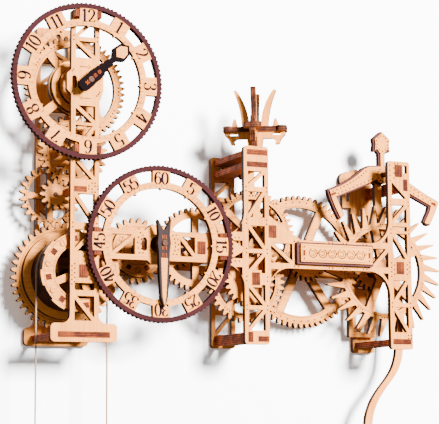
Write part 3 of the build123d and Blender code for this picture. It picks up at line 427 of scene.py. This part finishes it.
# The strokes of each digit, in a box one unit wide and one unit tall.
BOWL = [(0.12, 0.55), (0.3, 0.615), (0.55, 0.625), (0.86, 0.53), (0.96, 0.32), (0.86, 0.1), (0.5, 0.0),
        (0.2, 0.04), (0.05, 0.18)]
SIX = [[(0.88, 0.86), (0.68, 0.99), (0.4, 0.96), (0.14, 0.75), (0.05, 0.48), (0.05, 0.3)],
       oval(0.5, 0.3, 0.45, 0.3)]
GLYPHS = {
    "0": [oval(0.5, 0.5, 0.46, 0.5)],
    "1": [[(0.5, 0.0), (0.5, 1.0)], [(0.5, 0.97), (0.16, 0.84)], [(0.14, 0.02), (0.86, 0.02)]],
    "2": [[(0.08, 0.74), (0.2, 0.93), (0.5, 1.0), (0.82, 0.93), (0.92, 0.76), (0.84, 0.58), (0.5, 0.3),
           (0.08, 0.05)],
          [(0.05, 0.05), (0.96, 0.05), (0.98, 0.2)]],
    "3": [[(0.1, 0.82), (0.25, 0.95), (0.5, 1.0), (0.8, 0.93), (0.88, 0.76), (0.76, 0.6), (0.42, 0.53)],
          [(0.42, 0.53), (0.8, 0.46), (0.96, 0.27), (0.84, 0.07), (0.5, 0.0), (0.2, 0.05), (0.06, 0.2)]],
    "4": [[(0.66, 1.0), (0.02, 0.3)], [(0.02, 0.3), (1.0, 0.3)], [(0.7, 1.0), (0.7, 0.0)],
          [(0.45, 0.02), (0.95, 0.02)]],
    "5": [[(0.14, 0.96), (0.9, 0.96)], [(0.15, 0.96), (0.12, 0.55)], BOWL],
    "6": SIX,
    "7": [[(0.04, 0.96), (0.96, 0.96)], [(0.94, 0.95), (0.62, 0.5), (0.42, 0.0)],
          [(0.05, 0.96), (0.05, 0.8)]],
    "8": [oval(0.5, 0.76, 0.38, 0.24), oval(0.5, 0.26, 0.46, 0.26)],
    "9": [[(1 - x, 1 - z) for x, z in stroke] for stroke in SIX],
}


def smooth(points):
    """A Catmull-Rom line through the points, four steps a span."""
    if len(points) < 4:
        return points
    padded = [points[0]] + list(points) + [points[-1]]
    out = []
    for i in range(1, len(padded) - 2):
        p0, p1, p2, p3 = padded[i - 1:i + 3]
        for step in range(4):
            t = step / 4
            out.append(tuple(
                0.5 * (2 * b + (c - a) * t + (2 * a - 5 * b + 4 * c - d) * t**2
                       + (3 * b - a - 3 * c + d) * t**3)
                for a, b, c, d in zip(p0, p1, p2, p3)
            ))
    out.append(points[-1])
    return out


def stroke_pairs(points):
    """Thick where the pen moves up or down, thin where it moves across."""
    pairs = []
    for i, (x, z) in enumerate(points):
        x0, z0 = points[max(i - 1, 0)]
        x1, z1 = points[min(i + 1, len(points) - 1)]
        dx, dz = x1 - x0, z1 - z0
        length = hypot(dx, dz)
        width = THIN + (THICK - THIN) * abs(dz / length) ** 2
        nx, nz = -dz / length * width / 2, dx / length * width / 2
        pairs.append(((x + nx, z + nz), (x - nx, z - nz)))
    return pairs


DIGIT_PITCH, NARROW_ONE = 1.18, 0.72


def number_strips(text, centre, radius, turn, tall, wide):
    """Digits with their tops outward, centred at a clock angle."""
    widths = [DIGIT_PITCH * wide * (NARROW_ONE if letter == "1" else 1.0) for letter in text]
    at = -sum(widths) / 2
    strips = []
    angle = radians(turn)
    for letter, width in zip(text, widths):
        for stroke in GLYPHS[letter]:
            scaled = [
                (at + width / 2 + (x - 0.5) * wide, radius + (z - 0.5) * tall) for x, z in smooth(stroke)
            ]
            placed = []
            for a, b in stroke_pairs(scaled):
                placed.append(tuple(
                    (centre[0] + x * cos(angle) + z * sin(angle),
                     centre[1] - x * sin(angle) + z * cos(angle))
                    for x, z in (a, b)
                ))
            strips.append(placed)
        at += width
    return strips


NUMERAL_R = 46.5 * MM
TICK_START_R, LONG_TICK_R, TICK_R, TICK_WIDTH = 39.7 * MM, 42.6 * MM, 41.6 * MM, 0.34 * MM
for dial, step, tall, wide in (("hour", 1, 9.2 * MM, 4.9 * MM), ("minute", 5, 8.5 * MM, 4.6 * MM)):
    ring = f"{dial}s_dial_ring"
    centre = pins[dial]
    strips = []
    for hour in range(1, 13):
        strips += number_strips(str(hour * step), centre, NUMERAL_R, 30 * hour, tall, wide)
    add_marks(f"{dial}s_numerals", strips, front(ring), ink, "frame")
    ticks = []
    for minute in range(60):
        outer = LONG_TICK_R if minute % 5 == 0 else TICK_R
        if minute % 5 or dial == "minute":
            ends = [around(centre, radius, 6 * minute) for radius in (TICK_START_R, outer)]
            ticks.append(line(*ends, TICK_WIDTH))
    add_marks(f"{dial}s_ticks", ticks, front(ring), burn, "frame")


# ------------------------------------------------------------------ rows of burnt dots on the frame
DOT = 0.62 * MM
PAIR_GAP = 3.0                 # between the two dots of a pair


def dots(name, points, face, body):
    add_marks(name, [disc(x, z, DOT) for x, z in points], face, burn, body)


def zigzag(x, z_low, z_high, width, pitch):
    """Dots that climb a rail from side to side."""
    count = int((z_high - z_low) / pitch)
    return [bench(x + width * (i % 2), z_low + pitch * i) for i in range(count + 1)]


def pairs_on_rails(rails, heights):
    """Pairs one above the other, on upright rails."""
    return [bench(x, z + side) for x in rails for z in heights for side in (-PAIR_GAP / 2, PAIR_GAP / 2)]


def pairs_on_beam(places, levels):
    """Pairs side by side, on level rails."""
    return [bench(x + side, z) for x in places for z in levels for side in (-PAIR_GAP / 2, PAIR_GAP / 2)]


tower_dots = pairs_on_rails((-8.3, 8.3), (26.5, 47.3, 67.5, 88.9, 112.7))
tower_dots += pairs_on_beam((32.2, 61.0, 73.0), (57.3, 75.9))
tower_dots += [bench(x, z) for x in (-17.4, -14.2) for z in (59.6, 76.6)]
dots("centre_tower_dots", tower_dots, front("front_centre_tower"), "frame")

tower_dots = pairs_on_rails((113.0, 128.7), (31.5, 87.2, 108.7)) + pairs_on_beam((90.0,), (57.3, 75.9))
tower_dots += zigzag(113.2, 126.0, 139.5, 3.4, 1.95) + zigzag(112.9, 53.0, 64.8, 2.6, 1.7)
tower_dots += zigzag(126.8, 55.0, 64.0, 2.2, 1.8) + [bench(x, z) for x in (126.4, 129.0) for z in (6.6, 8.8)]
tower_dots += [bench(117.5 + 2.6 * i, 139.2) for i in range(2)]
dots("right_tower_dots", tower_dots, front("front_right_tower"), "frame")

tower_dots = zigzag(-141.6, 39.0, 54.0, 2.0, 1.55)
tower_dots += [
    bench(-129.6 + 2.3 * column, 103.4 + 2.1 * row)
    for column in range(4) for row in range(4) if (column + row) % 3
]
tower_dots += pairs_on_rails((-141.2, -123.5), (80.0, 129.0, 212.0))
HUB_TURNS = (-52, -44, 44, 52, 60, 120, 128, 136, 224, 232)
tower_dots += [around(pins["hour"], 12.4 * MM, turn) for turn in HUB_TURNS]
dots("left_tower_dots", tower_dots, front("front_left_tower"), "frame")

hub_dots = []
for radius, turns in (
    (13.2, (-118, -105, -90, -75, -62)),
    (15.6, (-114, -101, -87, -73, -60, 62, 75, 88, 101, 114)),
    (13.2, (58, 70, 82, 94, 106, 118)),
):
    hub_dots += [around(pins["minute"], radius * MM, turn) for turn in turns]
dots("minute_hub_dots", hub_dots, front("front_minute_arm"), "frame")


# ------------------------------------------------------------------ marks on the wheels
LINE_WIDTH = 0.30 * MM
for name, node, pin, radii in (
    ("escape_line", "escape_wheel", "escape", (34.6,)),
    ("hour_wheel_line", "hour_wheel", "hour", (31.0,)),
    ("hour_hub_line", "hour_hub_discs", "hour", (12.6,)),
    ("second_line", "second_wheel", "second", (25.4,)),
    ("third_line", "third_wheel", "third", (29.8,)),
    ("ring_line", "ring_wheel", "ring", (42.6,)),
    ("great_line", "great_wheel", "drum", (32.6,)),
    ("drum_lines", "drum_front_disc", "drum", (19.6, 26.4)),
    ("ratchet_line", "minute_ratchet_disc", "minute", (11.0, 17.6)),
    ("motion_line", "motion_wheel", "motion", (19.4,)),
    ("transfer_line", "transfer_wheel", "transfer", (17.7,)),
):
    circles = [ring_line(pins[pin], radius * MM, LINE_WIDTH) for radius in radii]
    add_marks(name, circles, front(node), engraved, pin + "_unit")


# Dots round the rims: wheel, radius, number of groups, dots in a group, and degrees between them.
for pin, radius, count, per_group, spread in (
    ("ring", 45.6, 48, 1, 3.0),
    ("escape", 35.9, 10, 3, 3.4),
    ("motion", 20.7, 10, 2, 9.0),
    ("second", 26.6, 10, 3, 5.0),
    ("third", 30.8, 12, 3, 4.5),
    ("transfer", 18.2, 10, 2, 10.0),
    ("hour", 32.6, 12, 3, 4.5),
):
    spots = []
    for step in range(count):
        for member in range(per_group):
            turn = 360 * step / count + (member - (per_group - 1) / 2) * spread
            spots.append(around(pins[pin], radius * MM, turn))
    dots(pin + "_rim_dots", spots, front(pin + "_wheel"), pin + "_unit")

# Spokes of the ring wheel are outlined, as if let into the rim.
SPOKE_START_R, SPOKE_END_R, SPOKE_TURN = 11.0 * MM, 44.0 * MM, 5
SPOKE_SIDE, SPOKE_CAP, OUTLINE_WIDTH = 2.7 * MM, 2.8 * MM, 0.28 * MM
outlines = []
for spoke in range(6):
    turn = 90 - (SPOKE_TURN + 60 * spoke)
    sideways = (cos(radians(turn)), -sin(radians(turn)))
    for side in (-1, 1):
        along = [around(pins["ring"], radius, turn) for radius in (SPOKE_START_R, SPOKE_END_R)]
        shift = [share * SPOKE_SIDE * side for share in sideways]
        outlines.append(line(*[(x + shift[0], z + shift[1]) for x, z in along], OUTLINE_WIDTH))
    tip = around(pins["ring"], SPOKE_END_R, turn)
    half = [share * SPOKE_CAP for share in sideways]
    cap = [(tip[0] + side * half[0], tip[1] + side * half[1]) for side in (-1, 1)]
    outlines.append(line(*cap, OUTLINE_WIDTH))
add_marks("ring_spoke_outlines", outlines, front("ring_wheel"), engraved, "ring_unit")


# ------------------------------------------------------------------ small solid pieces
CHAMFER, BLOCK_SINK = 0.25 * MM, 0.05 * MM


def block(name, x, z, half_width, half_height, face, depth, material, body, turn=0.0):
    """A little block whose front edges are eased, its front at face - depth."""
    a = radians(turn)
    points, faces = [], []
    levels = ((face + BLOCK_SINK, 0.0), (face - depth + CHAMFER, 0.0), (face - depth, CHAMFER))
    for y, inset in levels:
        for sx, sz in ((-1, -1), (1, -1), (1, 1), (-1, 1)):
            px, pz = sx * (half_width - inset), sz * (half_height - inset)
            points.append((x + px * cos(a) + pz * sin(a), y, z - px * sin(a) + pz * cos(a)))
    faces.append((0, 3, 2, 1))
    for level in (0, 4):
        for i in range(4):
            j = (i + 1) % 4
            faces.append((level + i, level + j, level + 4 + j, level + 4 + i))
    faces.append((8, 9, 10, 11))
    piece = add_piece(name, points, [tuple(reversed(f)) for f in faces], material)
    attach(piece, body)


# Tenon ends: name, wheel, body, disc, number, first angle, radius and half a side in millimetres.
TENON_RISE = 0.6 * MM
for name, pin, body, disc_node, count, first, radius, half in (
    ("drum_tenon", "drum", "drum_unit", "drum_front_disc", 8, 34.5, 23.4, 2.1),
    ("ratchet_tenon", "minute", "minute_unit", "minute_ratchet_disc", 6, 30, 14.4, 1.8),
):
    for step in range(count):
        turn = 360 / count * step + first
        x, z = around(pins[pin], radius * MM, turn)
        block(f"{name}_{step}", x, z, half * MM, half * MM, front(disc_node), TENON_RISE, tab, body, turn)

# The ring and the slot of each wooden screw on the ratchet disc.
SCREW_RING_R, SCREW_SLOT_REACH = 2.05 * MM, 1.8 * MM
strips = []
for step in range(6):
    x, z = around(pins["minute"], 14.4 * MM, 60 * step)
    strips.append(ring_line((x, z), SCREW_RING_R, 0.36 * MM))
    slot_ends = [around((x, z), reach, 35 * step + 25) for reach in (-SCREW_SLOT_REACH, SCREW_SLOT_REACH)]
    strips.append(line(*slot_ends, 0.5 * MM))
add_marks("ratchet_screws", strips, front("minute_ratchet_disc"), burn, "minute_unit")

# ------------------------------------------------------------------ hands
HOUR_TURN, MINUTE_TURN = 47.0, 180.0


def turned_outline(centre, turn, pairs):
    """Strip pairs drawn upright in millimetres, turned clockwise about a centre."""
    a = radians(turn)
    return [
        tuple(
            (centre[0] + (x * cos(a) + z * sin(a)) * MM, centre[1] + (-x * sin(a) + z * cos(a)) * MM)
            for x, z in pair
        )
        for pair in pairs
    ]


diamond = [((-0.1, 26.2), (0.1, 26.2)), ((-4.2, 29.6), (4.2, 29.6)), ((-3.7, 33.8), (3.7, 33.8)),
           ((-0.1, 37.0), (0.1, 37.0))]
lance = [((-0.2, 43.0), (0.2, 43.0)), ((-1.4, 37.0), (1.4, 37.0)), ((-2.5, 10.5), (2.5, 10.5))]
# Tenons: distances from the arbor, and half their width and height, in millimetres.
for dial, turn, shape, places, half_width, half_height in (
    ("hour", HOUR_TURN, diamond, (-3.4, 4.6, 8.6), 1.25, 1.25),
    ("minute", MINUTE_TURN, lance, (-4.2, 3.6, 8.4), 1.5, 1.3),
):
    hand, body = f"{dial}_hand", f"{dial}_unit"
    strip = turned_outline(pins[dial], turn, shape)
    add_marks(f"{hand}_inlay", [strip], front(hand), birch["level"], body)
    for i, out in enumerate(places):
        x, z = around(pins[dial], out * MM, turn)
        block(f"{hand}_tenon_{i}", x, z, half_width * MM, half_height * MM, front(hand), 0.5 * MM,
              keeper, body, turn)


# ------------------------------------------------------------------ anchor, nameplate, hub arrows
pivot = pins["anchor"]


def curve_dots(first, middle_point, last, count, inset):
    """Dots along a curve through three points, shifted sideways by the inset."""
    spots = []
    for i in range(count):
        t = i / (count - 1)
        weights = ((1 - t) * (1 - 2 * t), 4 * t * (1 - t), t * (2 * t - 1))
        ends = (first, middle_point, last)
        x, z = (sum(w * p[k] for w, p in zip(weights, ends)) for k in (0, 1))
        spots.append((x + inset[0], z + inset[1]))
    return spots


arms = curve_dots((-16.0, 3.6), (-28.5, -5.4), (-45.0, -13.4), 12, (1.0, -1.5))
arms += curve_dots((9.0, 5.0), (24.7, -5.6), (47.5, -17.6), 14, (-0.9, -1.6))
arms += curve_dots((-39.0, -17.8), (-24.0, -11.4), (-9.0, -5.0), 10, (-0.6, 1.3))
arms += curve_dots((15.0, -7.1), (25.0, -13.3), (40.0, -20.1), 8, (0.7, 1.4))
head = [(2.7, 20.0), (4.9, 21.6), (4.5, 24.0), (4.9, 26.8), (3.3, 29.0), (1.6, 30.7)]
marked = arms + head + [(-x, z) for x, z in head] + [(0, 18.8)]
marked += [(4.9 * sin(radians(a)), 4.9 * cos(radians(a))) for a in range(-150, 181, 30) if a]
marked_at = [(pivot[0] + x * MM, pivot[1] + z * MM) for x, z in marked]
dots("anchor_dots", marked_at, front("anchor_inlay"), "anchor_unit")
for i, (x, z, lean) in enumerate(((-43.6, -16.9, -22), (45.4, -20.2, 24))):
    block(f"anchor_tenon_{i}", pivot[0] + x * MM, pivot[1] + z * MM, 2.3 * MM, 1.0 * MM,
          front("anchor_inlay"), 0.4 * MM, tab, "anchor_unit", lean)

panel_low, panel_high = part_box("nameplate_panel")
plate_face = panel_low.y
mid_z = (panel_low.z + panel_high.z) / 2
scroll = []
for k in range(6):
    x = panel_low.x + (10.0 + 8.0 * k) * MM
    scroll.append(ring_line((x, mid_z), 3.2 * MM, 0.62 * MM, 20, 340))
    scroll.append(ring_line((x, mid_z), 1.6 * MM, 0.5 * MM, -60, 240))
    scroll.append(line((x + 2.6 * MM, mid_z - 1.6 * MM), (x + 5.2 * MM, mid_z + 1.6 * MM), 0.55 * MM))
BORDER_INSET = 1.2 * MM
left_x, right_x = panel_low.x + BORDER_INSET, panel_high.x - BORDER_INSET
low_z, high_z = panel_low.z + BORDER_INSET, panel_high.z - BORDER_INSET
border = [(left_x, low_z), (right_x, low_z), (right_x, high_z), (left_x, high_z)]
scroll += [line(border[i], border[(i + 1) % 4], 0.22 * MM) for i in range(4)]
add_marks("nameplate_scroll", scroll, plate_face, burn, "frame")
corner_xs = (panel_low.x + 2.6 * MM, panel_high.x - 2.6 * MM)
corner_zs = (panel_low.z + 2.4 * MM, panel_high.z - 2.4 * MM)
dots("nameplate_dots", [(x, z) for x in corner_xs for z in corner_zs], plate_face, "frame")
for i, x in enumerate(corner_xs):
    block(f"nameplate_tenon_{i}", x, mid_z, 0.9 * MM, 2.2 * MM, plate_face, 0.4 * MM, tab, "frame")


def arrow_mark(x, z, way):
    """A short engraved bar with an arrowhead."""
    tip = (x + way * 4.0 * MM, z)
    marks = [line((x - way * 4.0 * MM, z), (x + way * 2.4 * MM, z), 0.7 * MM)]
    return marks + [line((x + way * 2.0 * MM, z + 1.3 * MM * s), tip, 0.5 * MM) for s in (-1, 1)]


hub_marks = []
for pin, rise in (("hour", 11.16), ("minute", 6.572)):
    for way in (-1, 1):
        hub_marks += arrow_mark(pins[pin][0], pins[pin][1] + way * rise * MM, way)
add_marks("hub_arrows", hub_marks, front("front_left_tower"), engraved, "frame")

# ------------------------------------------------------------------ the cord: the same route as its solids
WRAP, BEND = 26.2, 10.85       # radius round the barrel, and the control points of its quarter turn
ROUTE = [(0, WRAP), (BEND, WRAP), (WRAP, BEND), (WRAP, -14.0), (WRAP, -60.0), (WRAP, -112.2)]
CORD_LENGTH, CORD_DIAMETER = 0.1534, 0.0012
cord_y = sum(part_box("weight_cord")[i].y for i in range(2)) / 2
for name, side in (("weight_cord", -1), ("counter_cord", 1)):
    curve = bpy.data.curves.new(name + "_line", "CURVE")
    curve.dimensions = "3D"
    spline = curve.splines.new("NURBS")
    spline.points.add(len(ROUTE) - 1)
    for point, (x, z) in zip(spline.points, ROUTE):
        point.co = (pins["drum"][0] + side * x * MM, cord_y, pins["drum"][1] + z * MM, 1.0)
    spline.order_u = 3
    spline.use_endpoint_u = True
    spline.resolution_u = 12
    curve.bevel_depth = CORD_DIAMETER / 2
    curve.bevel_resolution = 3
    curve.use_fill_caps = True
    curve.materials.append(cotton)
    piece = bpy.data.objects.new(name + "_line", curve)
    bpy.context.scene.collection.objects.link(piece)
    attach(piece, "frame")
    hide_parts(name)


# ------------------------------------------------------------------ stage and light
def one_sided(name, colour):
    """Pale matte paint that is seen from its front only, so the back of the object can be looked at."""
    g = Graph(name)
    speckle = g.noise((60, 60, 60), 2.0)
    g.finish(g.mix(speckle, rgba(colour), rgba(tuple(0.97 * c for c in colour))), 0.95)
    g.shader.inputs["Specular IOR Level"].default_value = 0.0
    geometry = g.tree.nodes.new("ShaderNodeNewGeometry")
    clear = g.tree.nodes.new("ShaderNodeBsdfTransparent")
    choose = g.tree.nodes.new("ShaderNodeMixShader")
    g.link(geometry.outputs["Backfacing"], choose.inputs[0])
    g.link(g.shader.outputs[0], choose.inputs[1])
    g.link(clear.outputs[0], choose.inputs[2])
    g.link(choose.outputs[0], g.output.inputs[0])
    return g.material


paint = one_sided("pale_paint", (0.96, 0.96, 0.96))


def sheet(name, corners):
    """A part of the stage that the camera sees, and that neither shades nor lights the object."""
    plane = add_piece(name, corners, [(0, 1, 2, 3)], paint)
    plane.visible_shadow = False
    plane.visible_diffuse = False
    plane.visible_glossy = False


low, high = cad_box
FLOOR_Z, WALL_Y = low.z - 0.03, high.y + 0.0012
REACH, FLOOR_FRONT = 3, -4
foot_of_wall = [(-REACH, WALL_Y, FLOOR_Z), (REACH, WALL_Y, FLOOR_Z)]
sheet("wall", foot_of_wall + [(REACH, WALL_Y, REACH), (-REACH, WALL_Y, REACH)])
sheet("floor", [(-REACH, FLOOR_FRONT, FLOOR_Z), (REACH, FLOOR_FRONT, FLOOR_Z)] + foot_of_wall[::-1])

world = bpy.data.worlds.new("studio")
world.use_nodes = True
WORLD_COLOUR, WORLD_STRENGTH = (1.0, 0.985, 0.97, 1), 0.44
world.node_tree.nodes["Background"].inputs[0].default_value = WORLD_COLOUR
world.node_tree.nodes["Background"].inputs[1].default_value = WORLD_STRENGTH
bpy.context.scene.world = world


def softbox(name, place, target, size, power):
    data = bpy.data.lights.new(name, "AREA")
    data.shape, data.size, data.energy = "SQUARE", size, power
    lamp = bpy.data.objects.new(name, data)
    lamp.location = place
    lamp.rotation_mode = "QUATERNION"
    lamp.rotation_quaternion = (Vector(target) - Vector(place)).to_track_quat("-Z", "Y")
    bpy.context.scene.collection.objects.link(lamp)


middle = (low + high) / 2
for name, place, size, watts in (
    ("key", middle + Vector((0.35, -2.0, 0.55)), 0.45, 540),
    ("fill", (-1.5, -1.6, 0.3), 1.6, 9),
    ("back", (-0.6, 1.8, 0.9), 1.6, 70),
):
    softbox(name, place, middle, size, watts)
